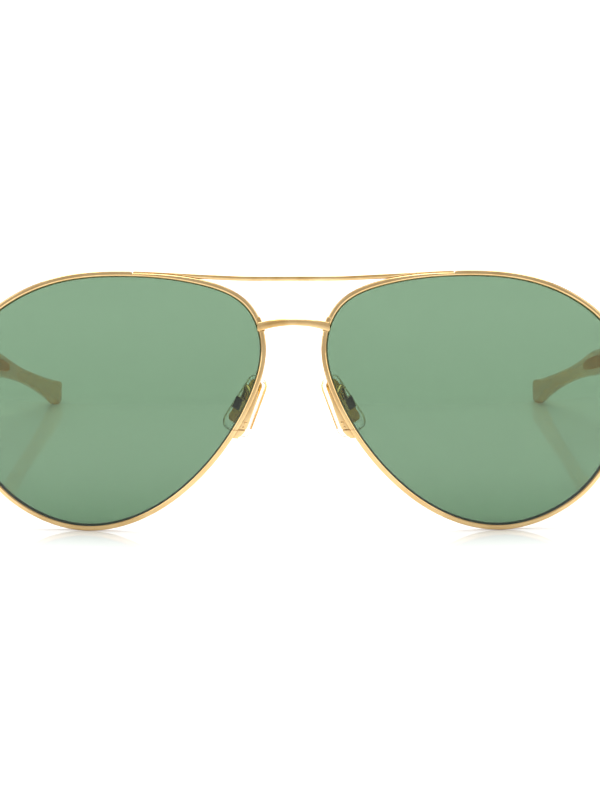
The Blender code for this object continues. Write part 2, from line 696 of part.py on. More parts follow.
def add_temple_hinge(swing, name, side, finishes):
    inner = TEMPLE_OFFSET - BAR_THICKNESS / 2 - GAP
    knuckle = prism(knuckle_outline(2.4), -MIDDLE_HALF_HEIGHT, MIDDLE_HALF_HEIGHT)
    body = swing.add("temple_hinge_" + name, at_hinge(side, knuckle), finishes["hinge_gold"], 35)
    leaf = box((inner - 1.1, 2.0, -LEAF_HALF_HEIGHT), (inner, LEAF_LENGTH, LEAF_HALF_HEIGHT))
    boolean(body, swing.add("temple_hinge_leaf_" + name, at_hinge(side, leaf)), "UNION")
    hole = turned(((HINGE_HOLE, -HINGE_HALF_HEIGHT), (HINGE_HOLE, HINGE_HALF_HEIGHT)))
    boolean(body, swing.add("temple_hinge_hole_" + name, at_hinge(side, hole)))


def route_frame(rows, k):
    """Centre, inward and upward directions of a standing-frame route at row k, in the front's frame."""
    before = rows[max(k - 1, 0)]
    after = rows[min(k + 1, len(rows) - 1)]
    along = Vector((after[1] - before[1], after[0] - before[0], after[2] - before[2])).normalized()
    inward = Vector((-along.y, along.x, 0.0)).normalized()
    up = inward.cross(along).normalized()
    centre = Vector((rows[k][1], rows[k][0], rows[k][2]))
    return lean_inverse(centre), lean_inverse(inward), lean_inverse(up if up.z > 0 else -up)


def oval_section(half_height, half_thickness, corner, sides=3):
    """Rounded section of (inward, up) points, with its flats kept flat."""
    corner = min(corner, 0.95 * half_height, 0.95 * half_thickness)
    return rounded_rectangle(2 * half_thickness, 2 * half_height, corner, sides)


def route_rings(rows, size, corner, sides=3):
    rings = []
    for k in range(len(rows)):
        centre, inward, up = route_frame(rows, k)
        half_height, half_thickness = size(rows[k])
        rings.append([centre + inward * a + up * b
                      for a, b in oval_section(half_height, half_thickness, corner, sides)])
    return rings


def bar_half_size(row):
    """The bar is flat; inside the tip it is the slimmer core."""
    inside = min(max((row[0] - 78.0) / 4.0, 0.0), 1.0)
    thickness = BAR_THICKNESS + (CORE_THICKNESS - BAR_THICKNESS) * inside
    return row[3] / 2, thickness / 2


def pocket_half_size(row):
    half_height, half_thickness = bar_half_size(row)
    return half_height + POCKET_CLEARANCE, half_thickness + POCKET_CLEARANCE


def add_temple(swing, name, side, finish):
    places = list(np.linspace(TEMPLE_ROUTE[0][0], 80.0, 12)) + list(np.linspace(84.0, CORE_END, 8))
    rows = smooth_route(TEMPLE_ROUTE, places)
    swing.add("temple_" + name, mirrored(side, loft(route_rings(rows, bar_half_size, 0.3, 2))), finish, 35)


def on_table(mesh):
    """Flatten what would dip below the table, so that the tip rests on a flat."""
    sine, cosine = math.sin(LEAN), math.cos(LEAN)
    for vertex in mesh.verts:
        height = vertex.co.z * cosine - vertex.co.y * sine + LIFT
        if height < 0.0:
            vertex.co -= Vector((0.0, -sine, cosine)) * height
    return mesh


def add_tip(swing, name, side, finish):
    """Sleeve with a blind pocket for the temple's core."""
    outer = smooth_route(TIP_ROUTE, list(np.linspace(82.0, 138.0, 15)) + [140.3, 141.8, 142.8])
    rings = route_rings(outer, lambda row: (row[3] / 2, row[4] / 2), 1.4, 4)
    pocket = smooth_route(TEMPLE_ROUTE, list(np.linspace(82.0, CORE_END, 8)))
    inner = route_rings(pocket, pocket_half_size, 0.4, 4)
    centre, inward, up = route_frame(pocket, len(pocket) - 1)
    push = up.cross(inward).normalized() * POCKET_RUN
    if push.y < 0:
        push.negate()
    inner.append([point + push for point in inner[-1]])
    mesh = loft(list(reversed(rings)) + inner)
    swing.add("temple_tip_" + name, mirrored(side, on_table(mesh)), finish, smooth=45)


# ---------------------------------------------------------------- the whole

def build():
    for old in list(bpy.data.objects):
        bpy.data.objects.remove(old, do_unlink=True)
    finishes = make_materials()
    front = Anchor("front_frame")
    front.empty.location = Vector((0.0, -BACK_SHIFT, LIFT)) * MM
    front.empty.rotation_euler = (-LEAN, 0.0, 0.0)
    add_bridge(front, finishes["bridge_gold"])
    add_brow_bar(front, finishes["bridge_gold"])
    for name, side in (("left", 1), ("right", -1)):
        add_rim(front, name, side, finishes["rim_gold"])
        add_lens(front, name, side, finishes["green_glass"])
        add_lock(front, name, side, finishes)
        add_nose_pad(front, name, side, finishes)
        add_end_piece(front, name, side, finishes["temple_gold"])
        add_front_hinge(front, name, side, finishes)
        swing = Anchor("temple_%s_axis" % name, (side * HINGE.x, HINGE.y, HINGE.z), front.empty)
        add_temple_hinge(swing, name, side, finishes)
        add_temple(swing, name, side, finishes["temple_gold"])
        add_tip(swing, name, side, finishes["honey_acetate"])


build()
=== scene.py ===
"""The looks of the aviator sunglasses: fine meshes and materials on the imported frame.

Shapes are drawn in millimetres in the front's own frame (x to the wearer's left, y back, z up),
and FRONT, which comes from the fold joint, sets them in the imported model's frame.
"""
import json
import math

import bmesh
import bpy
import numpy as np
from mathutils import Matrix, Vector


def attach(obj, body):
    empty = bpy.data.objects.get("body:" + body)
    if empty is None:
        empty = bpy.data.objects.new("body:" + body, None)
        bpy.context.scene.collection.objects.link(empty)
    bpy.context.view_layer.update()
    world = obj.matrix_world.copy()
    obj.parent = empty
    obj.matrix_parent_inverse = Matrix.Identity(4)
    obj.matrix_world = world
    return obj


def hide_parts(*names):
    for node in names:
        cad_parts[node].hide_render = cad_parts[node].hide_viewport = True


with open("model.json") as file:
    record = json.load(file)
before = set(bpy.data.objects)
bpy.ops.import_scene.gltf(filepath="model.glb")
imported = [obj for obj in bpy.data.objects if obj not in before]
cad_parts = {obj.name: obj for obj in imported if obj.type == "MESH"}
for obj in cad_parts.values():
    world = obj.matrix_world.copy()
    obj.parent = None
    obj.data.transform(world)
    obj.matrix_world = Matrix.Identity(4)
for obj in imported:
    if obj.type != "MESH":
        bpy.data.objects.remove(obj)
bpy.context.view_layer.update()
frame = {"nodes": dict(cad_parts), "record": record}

MM = 0.001
SIDES = (("left", 1), ("right", -1))

# Driving sizes in millimetres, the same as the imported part's except where a comment says otherwise
HINGE = Vector((67.8, 13.2, 38.9))
LENS_RADIUS = 100.0
WRAP = math.radians(5.0)
LENS_CENTRE_X = 37.4
LENS_CENTRE_Z = 27.2
LENS_THICKNESS = 1.8
# Edge of the visible lens about its centre: u towards the temple, v up, clockwise from the top
LENS_OUTLINE = ((-3.0, 25.9), (10.0, 24.8), (21.2, 20.2), (28.7, 12.7), (31.0, 3.5), (29.5, -6.3),
                (24.5, -16.2), (16.0, -22.8), (6.0, -25.4), (-5.8, -22.8), (-15.8, -15.9),
                (-23.2, -7.2), (-28.4, 2.6), (-30.2, 11.5), (-27.1, 19.6), (-18.1, 24.1))
RIM_WALL = 1.1
RIM_DEPTH = 2.0
BAR_TOP_Z = 53.0
BAR_RISE = 1.17
BAR_FLAT_HALF = 10.0
BAR_END_X = 32.9
BAR_RECESS_START_X = 19.0
RECESS_REACH = 22.0
BAR_RECESS_WALL = 0.6
BAR_HEIGHT = 0.9
BAR_DEPTH = 1.4
BAR_Y = 3.2
BAR_SHEAR = -0.26
NOTCH_WIDTH = 0.5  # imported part: 0.6
BRIDGE_HALF = 7.4
BRIDGE_END_Z = 42.9
BRIDGE_RISE = 1.12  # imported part: 1.0
BRIDGE_END_HEIGHT = 1.9
BRIDGE_MID_HEIGHT = 1.55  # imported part: 1.4
BRIDGE_FRONT_Y = 0.3
BRIDGE_DEPTH = 1.5
SLIT_V = -5.35
SLIT_WIDTH = 0.14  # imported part: 0.3
SLIT_SLANT = 0.55
SLIT_REACH = 3.5
UPPER_BLOCK_LENGTH = 9.3
LOWER_BLOCK_LENGTH = 1.6
BLOCK_WIDTH = 1.35
BLOCK_TAPER = 1.2
BLOCK_FRONT = -0.75
BLOCK_BACK = 1.25
PAD_CENTRE = Vector((9.41, 10.8, 25.34))
PAD_LONG = Vector((0.373, 0.0, -0.928)).normalized()
PAD_SPLAY = math.radians(32.0)
# Sides of the pad and of its insert: along from the top down, across from the front back
PAD_OUTLINE = ((-6.5, -2.6), (6.4, -3.2), (6.4, 7.0), (-6.5, 2.6))
PAD_THICKNESS = 2.2
PAD_CORNER = 2.1
INSERT_OUTLINE = ((-5.6, -1.9), (4.4, -2.5), (4.4, 5.2), (-5.6, 1.7))
INSERT_THICKNESS = 0.7
INSERT_CORNER = 1.0
INSERT_TOP = PAD_THICKNESS / 2 - 0.45
PAD_PIVOT_OFFSET = 1.95
LUG_RADIUS = 0.6
LUG_THICKNESS = 0.6
BOX_LENGTH = 2.6
BOX_WIDTH = 2.8
BOX_SLOT = 1.1
BOX_BACK_WALL = 0.4
BOX_MOUTH = 0.55
GAP = 0.15
ARM_RADIUS = 0.5
ARM_ROOT = 0.62
ARM_HEIGHT = 0.3
# Centre lines as the part stands, in rows of back, out, up, height and, for the tip, thickness
TEMPLE_ROUTE = ((15.2, 70.0, 38.0, 3.8), (40.0, 71.1, 31.9, 3.4), (65.0, 71.0, 25.7, 3.4),
                (84.0, 69.5, 21.0, 3.0), (98.0, 67.5, 17.7, 2.8), (104.0, 66.5, 16.1, 2.5),
                (109.5, 65.5, 14.45, 1.7))
BAR_THICKNESS = 1.2
CORE_THICKNESS = 1.1
TIP_ROUTE = ((82.0, 69.75, 21.4, 5.0, 3.2), (98.0, 67.5, 17.4, 5.5, 3.4),
             (108.0, 65.8, 14.5, 4.2, 3.3), (118.0, 63.4, 11.2, 3.3, 3.0),
             (127.0, 60.5, 7.8, 3.6, 2.8), (135.0, 58.2, 4.75, 4.6, 2.6),
             (140.5, 56.6, 2.75, 5.5, 2.3), (142.8, 56.0, 2.55, 5.0, 1.9))

# Where the outline is searched: past NASAL_U lies the nose side, above BROW_V the brow
NASAL_U = -15.0
BROW_V = 18.0
OUT_OF_REACH = 100.0


def front_matrix():
    """From the front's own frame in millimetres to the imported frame, read from the fold joint."""
    fold = next(joint for joint in frame["record"]["behaviour"]["joints"]
                if joint["name"] == "left_temple_fold")
    lean = math.atan2(fold["axis"][1], fold["axis"][2])
    turn = Matrix.Rotation(-lean, 4, "X") @ Matrix.Scale(MM, 4)
    return Matrix.Translation(Vector(fold["pos_m"]) - turn @ HINGE) @ turn, lean


FRONT, LEAN = front_matrix()


# ---------------------------------------------------------------- frames and curves

def clamp(value):
    return min(max(value, 0.0), 1.0)


def lean_inverse(point):
    """A direction or point of the standing frame, in the front's own frame."""
    x, y, z = point
    return Vector((x, y * math.cos(LEAN) - z * math.sin(LEAN), y * math.sin(LEAN) + z * math.cos(LEAN)))


def closed_spline(anchors, samples=6000):
    """Points along the closed cubic spline through the anchors."""
    points = np.array(anchors)
    count = len(points)
    after = np.roll(points, -1, axis=0)
    chord = np.linalg.norm(after - points, axis=1)
    matrix = np.zeros((count, count))
    slopes = (after - points) / chord[:, None]
    for i in range(count):
        matrix[i, i - 1] += chord[i - 1]
        matrix[i, i] += 2.0 * (chord[i - 1] + chord[i])
        matrix[i, (i + 1) % count] += chord[i]
    bend = np.linalg.solve(matrix, 6.0 * (slopes - np.roll(slopes, 1, axis=0)))
    knots = np.concatenate(([0.0], np.cumsum(chord)))
    curve = []
    for t in np.linspace(0.0, knots[-1], samples, endpoint=False):
        i = min(int(np.searchsorted(knots, t, "right")) - 1, count - 1)
        j = (i + 1) % count
        a = knots[i + 1] - t
        b = t - knots[i]
        h = chord[i]
        curve.append(bend[i] * a ** 3 / (6 * h) + bend[j] * b ** 3 / (6 * h)
                     + (points[i] / h - bend[i] * h / 6) * a + (points[j] / h - bend[j] * h / 6) * b)
    return np.array(curve)


class RimLine:
    """The lens edge on the lens sphere, measured by its arc length from the nose-side split."""

    def __init__(self):
        curve = closed_spline(LENS_OUTLINE)
        nasal = np.where(curve[:, 0] < NASAL_U, np.abs(curve[:, 1] - SLIT_V), np.inf)
        curve = np.roll(curve, -int(np.argmin(nasal)), axis=0)
        self.curve = np.vstack((curve, curve[:1]))
        steps = np.linalg.norm(np.diff(self.curve, axis=0), axis=1)
        self.lengths = np.concatenate(([0.0], np.cumsum(steps)))
        self.perimeter = float(self.lengths[-1])

    def edge(self, s):
        s = s % self.perimeter
        return (float(np.interp(s, self.lengths, self.curve[:, 0])),
                float(np.interp(s, self.lengths, self.curve[:, 1])))

    def where(self, test):
        """Arc length of the outline point that has the lowest test value."""
        scores = [test(u, v) for u, v in self.curve]
        return float(self.lengths[int(np.argmin(scores))])


RIM = RimLine()


def lens_surface(u, v, offset=0.0):
    """Lens frame point (u, depth, v) on the lens sphere, moved back by offset along its normal."""
    depth = LENS_RADIUS - math.sqrt(LENS_RADIUS ** 2 - u * u - v * v)
    back = Vector((-u, LENS_RADIUS - depth, -v)) / LENS_RADIUS
    return Vector((u, depth, v)) + back * offset


def lens_to_front(side, point):
    """Turn a lens frame point round the face and set it on its side of the front."""
    u, depth, v = point
    x = LENS_CENTRE_X + u * math.cos(WRAP) - depth * math.sin(WRAP)
    y = u * math.sin(WRAP) + depth * math.cos(WRAP)
    return Vector((side * x, y, LENS_CENTRE_Z + v))


class RimFrame:
    """Where the rim is at arc length s, and its outward and backward directions there."""

    REACH = 0.4

    def __init__(self, side, s):
        u, v = RIM.edge(s)
        self.origin = lens_surface(u, v)
        self.back = (lens_surface(u, v, 1.0) - self.origin).normalized()
        along = lens_surface(*RIM.edge(s + self.REACH)) - lens_surface(*RIM.edge(s - self.REACH))
        self.out = along.cross(self.back).normalized()
        if self.out.x * u + self.out.z * v < 0.0:
            self.out.negate()
        self.side = side

    def point(self, out, back):
        return lens_to_front(self.side, self.origin + self.out * out + self.back * back)


def rim_point(side, s, out, back):
    return RimFrame(side, s).point(out, back)


def split_point(side, s, out, back):
    """Like rim_point, but sheared along the rim near the split, so that its cut faces are level."""
    near = abs((s + RIM.perimeter / 2) % RIM.perimeter - RIM.perimeter / 2)
    return rim_point(side, s + SLIT_SLANT * out * max(0.0, 1.0 - near / SLIT_REACH), out, back)


def smooth_route(route, places):
    """Rows of the route read at the given first-column values, through a smooth curve."""
    table = np.array(route)
    x = table[:, 0]
    slopes = np.gradient(table[:, 1:], x, axis=0)
    rows = []
    for place in places:
        i = int(np.clip(np.searchsorted(x, place) - 1, 0, len(x) - 2))
        h = x[i + 1] - x[i]
        t = (place - x[i]) / h
        row = ((2 * t ** 3 - 3 * t ** 2 + 1) * table[i, 1:] + (t ** 3 - 2 * t ** 2 + t) * h * slopes[i]
               + (3 * t ** 2 - 2 * t ** 3) * table[i + 1, 1:] + (t ** 3 - t ** 2) * h * slopes[i + 1])
        rows.append((place, *row))
    return rows


def rounded_polygon(corners, steps=5):
    """Outline through (x, y, radius) corners, each corner an arc of that radius."""
    points = []
    count = len(corners)
    for k, (x, y, radius) in enumerate(corners):
        here = Vector((x, y))
        before = Vector(corners[k - 1][:2]) - here
        after = Vector(corners[(k + 1) % count][:2]) - here
        if radius <= 0.0:
            points.append((x, y))
            continue
        angle = before.angle(after)
        reach = radius / math.tan(angle / 2)
        start = here + before.normalized() * reach
        end = here + after.normalized() * reach
        middle = (before.normalized() + after.normalized()).normalized()
        centre = here + middle * (radius / math.sin(angle / 2))
        first = start - centre
        last = end - centre
        turn = first.angle(last)
        sign = 1.0 if first.x * last.y - first.y * last.x > 0 else -1.0
        base = math.atan2(first.y, first.x)
        for step in range(steps + 1):
            at = base + sign * turn * step / steps
            points.append((centre.x + radius * math.cos(at), centre.y + radius * math.sin(at)))
    return points


def rounded_rectangle(length, width, corner, per_corner=10):
    """Points of a rectangle with round corners, centred on the origin."""
    points = []
    for quarter in range(4):
        middle = math.pi / 4 + quarter * math.pi / 2
        centre_x = math.copysign(length / 2 - corner, math.cos(middle))
        centre_y = math.copysign(width / 2 - corner, math.sin(middle))
        for k in range(per_corner):
            angle = quarter * math.pi / 2 + k * math.pi / 2 / (per_corner - 1)
            points.append((centre_x + corner * math.cos(angle), centre_y + corner * math.sin(angle)))
    return points


def rounded_outline(corners, grow, radius, steps=10):
    """A four-sided outline with every side moved outwards by grow and its corners rounded."""
    moved = []
    for k, corner in enumerate(corners):
        here = Vector(corner)
        before = (here - Vector(corners[k - 1])).normalized()
        after = (Vector(corners[(k + 1) % 4]) - here).normalized()
        normals = (Vector((before.y, -before.x)), Vector((after.y, -after.x)))
        middle = (normals[0] + normals[1]) / (1.0 + normals[0].dot(normals[1]))
        centre = here + middle * (grow - radius)
        first = math.atan2(normals[0].y, normals[0].x)
        turn = normals[0].angle(normals[1])
        for step in range(steps + 1):
            angle = first + turn * step / steps
            moved.append((centre.x + radius * math.cos(angle), centre.y + radius * math.sin(angle)))
    return moved


# ---------------------------------------------------------------- mesh helpers

def loft(rings, mesh=None, slots=None):
    """Skin rings of equal length and cap both ends; slots gives each band's material index."""
    mesh = mesh or bmesh.new()
    rows = [[mesh.verts.new(point) for point in ring] for ring in rings]
    for band, (first, second) in enumerate(zip(rows, rows[1:])):
        for k in range(len(first)):
            face = mesh.faces.new((first[k - 1], first[k], second[k], second[k - 1]))
            face.material_index = slots[band] if slots else 0
    mesh.faces.new(rows[0])
    mesh.faces.new(rows[-1])
    return mesh


def turned(profile, segments=40):
    """A solid turned about z from (radius, height) steps."""
    angles = [2 * math.pi * k / segments for k in range(segments)]
    return loft([[(r * math.cos(a), r * math.sin(a), z) for a in angles] for r, z in profile])


def placed(mesh, origin, x_axis, y_axis, z_axis):
    matrix = Matrix((x_axis, y_axis, z_axis)).transposed().to_4x4()
    matrix.translation = origin
    mesh.transform(matrix)
    return mesh


def mirrored(side, mesh):
    if side < 0:
        mesh.transform(Matrix.Diagonal((-1.0, 1.0, 1.0, 1.0)))
    return mesh


def piece(name, mesh, body, node, finishes, smooth=32.0):
    """Make a piece of a mesh drawn in the front's frame; it rides on body and stands for node."""
    bmesh.ops.recalc_face_normals(mesh, faces=mesh.faces)
    mesh.transform(FRONT)
    data = bpy.data.meshes.new(name)
    mesh.to_mesh(data)
    mesh.free()
    made = bpy.data.objects.new(name, data)
    bpy.context.scene.collection.objects.link(made)
    for finish in finishes:
        data.materials.append(finish)
    data.shade_smooth()
    data.set_sharp_from_angle(angle=math.radians(smooth))
    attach(made, body)
    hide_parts(node)
    return made


def soften(made, width):
    """Round off an object's sharp edges."""
    edge = made.modifiers.new("soft_edges", "BEVEL")
    edge.width = width * MM
    edge.segments = 3
    edge.limit_method = "ANGLE"
    edge.angle_limit = math.radians(35)
    edge.harden_normals = True


# ---------------------------------------------------------------- materials

# The low tint holds painted shade, which darkens the lens towards its bottom
LENS_TINT_PAINTED_SHADE_LOW = (0.09, 0.171, 0.094)
LENS_TINT_HIGH = (0.151, 0.247, 0.155)
LENS_TOP = 0.054
# Ground edge colours: painted shade at the bottom, and higher up an olive tone with a painted
# reflection of the gilt
EDGE_PAINTED_SHADE = (0.05, 0.06, 0.03)
EDGE_OLIVE_AND_GILT_REFLECTION = (0.5, 0.42, 0.19)
TIP_DEEP = (0.74, 0.34, 0.035)
TIP_PALE = (0.84, 0.45, 0.07)
# Far below real silicone's, so that the insert's gold doesn't spread over the whole pad
PAD_IOR = 1.12


def new_material(name):
    made = bpy.data.materials.new(name)
    made.use_nodes = True
    return made, made.node_tree, made.node_tree.nodes["Principled BSDF"]


def noise(tree, scale, detail=3.0, stretch=(1.0, 1.0, 1.0)):
    """Noise in object space, stretched along an axis if asked."""
    place = tree.nodes.new("ShaderNodeTexCoord")
    mapping = tree.nodes.new("ShaderNodeMapping")
    mapping.inputs["Scale"].default_value = stretch
    texture = tree.nodes.new("ShaderNodeTexNoise")
    texture.inputs["Scale"].default_value = scale
    texture.inputs["Detail"].default_value = detail
    tree.links.new(place.outputs["Object"], mapping.inputs["Vector"])
    tree.links.new(mapping.outputs["Vector"], texture.inputs["Vector"])
    return texture.outputs["Fac"]


def ramp(tree, factor, low, high, start=0.35, end=0.65):
    """A colour that runs from low to high as the factor rises."""
    node = tree.nodes.new("ShaderNodeValToRGB")
    node.color_ramp.elements[0].position = start
    node.color_ramp.elements[0].color = (*low, 1.0)
    node.color_ramp.elements[1].position = end
    node.color_ramp.elements[1].color = (*high, 1.0)
    tree.links.new(factor, node.inputs["Fac"])
    return node.outputs["Color"]


def vary(tree, factor, low, high):
    """A number that runs between low and high with the factor."""
    node = tree.nodes.new("ShaderNodeMapRange")
    node.inputs["To Min"].default_value = low
    node.inputs["To Max"].default_value = high
    tree.links.new(factor, node.inputs["Value"])
    return node.outputs["Result"]


def bump(tree, factor, distance):
    node = tree.nodes.new("ShaderNodeBump")
    node.inputs["Distance"].default_value = distance
    node.inputs["Strength"].default_value = 1.0
    tree.links.new(factor, node.inputs["Height"])
    return node.outputs["Normal"]


def gold(name, deep, pale, smooth, rough, grain=0.000002, stretch=(1.0, 1.0, 1.0), metal=1.0):
    """Gilt, or a plain tone if metal is 0: slow colour shifts, fine marks and uneven gloss."""
    made, tree, shader = new_material(name)
    shader.inputs["Metallic"].default_value = metal
    tree.links.new(ramp(tree, noise(tree, scale=160.0), deep, pale), shader.inputs["Base Color"])
    marks = noise(tree, scale=2600.0, detail=6.0, stretch=stretch)
    tree.links.new(vary(tree, marks, smooth, rough), shader.inputs["Roughness"])
    tree.links.new(bump(tree, marks, grain), shader.inputs["Normal"])
    return made


def green_glass():
    """Green sun glass with painted shade that makes it a little darker towards the bottom of the lens.
    """
    made, tree, shader = new_material("green_glass")
    shader.inputs["Transmission Weight"].default_value = 1.0
    shader.inputs["Roughness"].default_value = 0.0
    shader.inputs["IOR"].default_value = 1.5
    tint = ramp(tree, height_share(tree, 0.0, LENS_TOP), LENS_TINT_PAINTED_SHADE_LOW, LENS_TINT_HIGH,
                start=0.03, end=0.85)
    tree.links.new(tint, shader.inputs["Base Color"])
    return made


def height_share(tree, low, high):
    """How high a point lies between two heights above the table, from 0 to 1."""
    place = tree.nodes.new("ShaderNodeTexCoord")
    split = tree.nodes.new("ShaderNodeSeparateXYZ")
    tree.links.new(place.outputs["Object"], split.inputs["Vector"])
    share = tree.nodes.new("ShaderNodeMapRange")
    share.inputs["From Min"].default_value = low
    share.inputs["From Max"].default_value = high
    tree.links.new(split.outputs["Z"], share.inputs["Value"])
    return share.outputs["Result"]


def ground_edge():
    """The lens's ground edge: near black at the bottom, which is painted shade; olive higher up, its
    frosted tone with a painted reflection of the gilt.
    """
    made, tree, shader = new_material("lens_ground_edge")
    tone = ramp(tree, height_share(tree, 0.004, 0.03), EDGE_PAINTED_SHADE, EDGE_OLIVE_AND_GILT_REFLECTION, start=0.2, end=0.9)
    tree.links.new(tone, shader.inputs["Base Color"])
    tree.links.new(vary(tree, noise(tree, scale=3000.0), 0.45, 0.65), shader.inputs["Roughness"])
    return made


def clear_silicone(name, clear, edge_painted_reflection):
    """Soft clear plastic; its colour runs from clear, seen square on, to edge_painted_reflection, a
    painted reflection of the gilt at its edges.
    """
    made, tree, shader = new_material(name)
    shader.inputs["Transmission Weight"].default_value = 1.0
    shader.inputs["IOR"].default_value = PAD_IOR
    facing = tree.nodes.new("ShaderNodeLayerWeight")
    facing.inputs["Blend"].default_value = 0.5
    # Painted reflection: towards its edges the clear plastic takes on the gilt's tan
    tone = ramp(tree, facing.outputs["Facing"], clear, edge_painted_reflection, start=0.5, end=0.74)
    tree.links.new(tone, shader.inputs["Base Color"])
    tree.links.new(vary(tree, noise(tree, scale=500.0), 0.03, 0.1), shader.inputs["Roughness"])
    tree.links.new(bump(tree, noise(tree, scale=900.0), 0.000004), shader.inputs["Normal"])
    return made


def honey_acetate():
    """Honey acetate with soft streaks, made half see-through so that the core shows."""
    made, tree, shader = new_material("honey_acetate")
    shader.inputs["Alpha"].default_value = 0.5
    shader.inputs["Specular IOR Level"].default_value = 0.1
    streaks = noise(tree, scale=220.0, detail=4.0, stretch=(1.0, 0.18, 0.5))
    tree.links.new(ramp(tree, streaks, TIP_DEEP, TIP_PALE), shader.inputs["Base Color"])
    tree.links.new(vary(tree, noise(tree, scale=1500.0), 0.05, 0.14), shader.inputs["Roughness"])
    tree.links.new(bump(tree, noise(tree, scale=350.0), 0.000006), shader.inputs["Normal"])
    return made


FINISH = {
    "rim": gold("rim_gilt", (0.69, 0.465, 0.21), (0.79, 0.56, 0.28), 0.12, 0.24),
    "bridge": gold("bridge_gilt", (0.56, 0.35, 0.13), (0.76, 0.54, 0.27), 0.06, 0.18,
                   grain=0.000008, stretch=(0.08, 1.0, 1.0)),
    "temple": gold("temple_gilt", (0.68, 0.46, 0.22), (0.78, 0.56, 0.3), 0.12, 0.22,
                   grain=0.000003, stretch=(1.0, 0.1, 0.4)),
    # The temple's gilt core inside the tip, painted as a plain copper-brown tone: painted shade for the
    # gilt's darker reflection
    "core": gold("core_gilt_painted_shade", (0.66, 0.17, 0.03), (0.8, 0.24, 0.06), 0.4, 0.6, metal=0.0),
    "recess": gold("shadowed_gilt", (0.05, 0.042, 0.022), (0.11, 0.085, 0.04), 0.4, 0.6),
    "hinge": gold("hinge_gilt", (0.58, 0.36, 0.14), (0.7, 0.45, 0.2), 0.2, 0.34),
    "insert": gold("insert_gilt", (0.86, 0.42, 0.06), (0.95, 0.56, 0.13), 0.22, 0.36),
    "screw": gold("screw_gilt", (0.62, 0.42, 0.2), (0.72, 0.5, 0.26), 0.16, 0.28),
    "glass": green_glass(),
    "edge": ground_edge(),
    "silicone": clear_silicone("clear_silicone", (0.95, 0.955, 0.97), (0.6, 0.54, 0.42)),
    # The pad's rearward wall in dark brown: a painted refraction of the darker surroundings
    "silicone_wall_painted_refraction": clear_silicone("silicone_wall_painted_refraction", (0.3, 0.25, 0.08), (0.3, 0.25, 0.1)),
    "acetate": honey_acetate(),
}


# ---------------------------------------------------------------- rims and lenses

def from_bar_end(u, v):
    away = abs(lens_to_front(1, lens_surface(u, v)).x - BAR_END_X)
    return away + (OUT_OF_REACH if v < BROW_V else 0.0)


NOTCH = RIM.where(from_bar_end)


def rim_wall(s):
    """The rim's wall at arc length s: thinner in the recess under the brow bar."""
    if not NOTCH - RECESS_REACH < s < NOTCH + NOTCH_WIDTH:
        return RIM_WALL
    share = (rim_point(1, s, RIM_WALL, 0.0).x - BAR_RECESS_START_X) / (BAR_END_X - BAR_RECESS_START_X)
    recess = RIM_WALL + (BAR_RECESS_WALL - RIM_WALL) * clamp(share)
    step = clamp((s - NOTCH) / NOTCH_WIDTH)
    return recess + (RIM_WALL - recess) * math.sin(step * math.pi / 2)


def rim_section(wall):
    """Rim section of (outwards, back) points: bright inner chamfer, rounded outside, V groove."""
    half = RIM_DEPTH / 2
    outer = min(0.34, wall / 2.4)
    groove_depth = 0.3
    groove_half = 0.4
    slope_out = 0.22
    slope_back = 0.2
    corners = ((groove_depth, 0.0, 0.0), (0.0, groove_half, 0.0), (0.0, half - slope_back, 0.05),
               (slope_out, half, 0.12), (wall, half, outer), (wall, -half, outer),
               (slope_out, -half, 0.12), (0.0, slope_back - half, 0.05), (0.0, -groove_half, 0.0))
    return rounded_polygon(corners)


def add_rim(name, side):
    """One wire from the slit round to the slit, with more rings where the notch steps up."""
    ring_count = 330
    arcs = list(np.linspace(SLIT_WIDTH / 2, RIM.perimeter - SLIT_WIDTH / 2, ring_count))
    at_notch = [NOTCH + NOTCH_WIDTH * share for share in (-0.5, 0.0, 0.1, 0.25, 0.5, 0.75, 1.0)]
    arcs = sorted([s for s in arcs if not at_notch[0] < s < at_notch[-1]] + at_notch)
    rings = [[split_point(side, s, out, back) for out, back in rim_section(rim_wall(s))]
             for s in arcs]
    piece("eyewire_" + name, loft(rings), "front", "rim_" + name, [FINISH["rim"]])


def add_lens(name, side):
    """Curved lens with polished faces and a ground V edge held in the rim."""
    half = LENS_THICKNESS / 2
    # The land on either side of the V stays just clear of the rim's inner wall
    land_out = -0.01
    land_half = half - 0.06
    corner_out = -0.05
    ridge_out = 0.2
    ridge_half = 0.36
    count = 240
    arcs = [RIM.perimeter * k / count for k in range(count)]
    outline = [RIM.edge(s) for s in arcs]
    places = [RimFrame(side, s) for s in arcs]

    def face_ring(share, offset):
        return [lens_to_front(side, lens_surface(u * share, v * share, offset)) for u, v in outline]

    def edge_ring(out, back):
        return [place.point(out, back) for place in places]

    shares = (0.03, 0.15, 0.3, 0.45, 0.6, 0.72, 0.82, 0.9, 0.96)
    rings = [face_ring(share, -half) for share in shares]
    edge = [(corner_out, -half), (land_out, -land_half), (land_out, -ridge_half), (ridge_out, 0.0),
            (land_out, ridge_half), (land_out, land_half), (corner_out, half)]
    rings += [edge_ring(out, back) for out, back in edge]
    rings += [face_ring(share, half) for share in reversed(shares)]
    faces = [0] * len(shares)
    slots = faces + [1] * (len(edge) - 1) + faces
    piece("sun_lens_" + name, loft(rings, slots=slots), "front", "lens_" + name,
          [FINISH["glass"], FINISH["edge"]], 30.0)


# ---------------------------------------------------------------- brow bar and bridge

def bar_top(x):
    """Height of the bar's top: level in the middle, then rising through a soft bend to its end."""
    past = abs(x) - BAR_FLAT_HALF
    bend = 4.0
    ramp_height = 0.5 * (past + math.sqrt(past * past + bend))
    return BAR_TOP_Z + BAR_RISE * ramp_height / (BAR_END_X - BAR_FLAT_HALF)


def rim_tops():
    """Half widths and heights of the recessed rim top, for the bar to lie on."""
    arcs = np.linspace(NOTCH, NOTCH - RECESS_REACH, 120)
    points = [rim_point(1, s, rim_wall(s), 0.0) for s in arcs]
    points.sort(key=lambda point: point.x)
    return [p.x for p in points], [p.z for p in points]


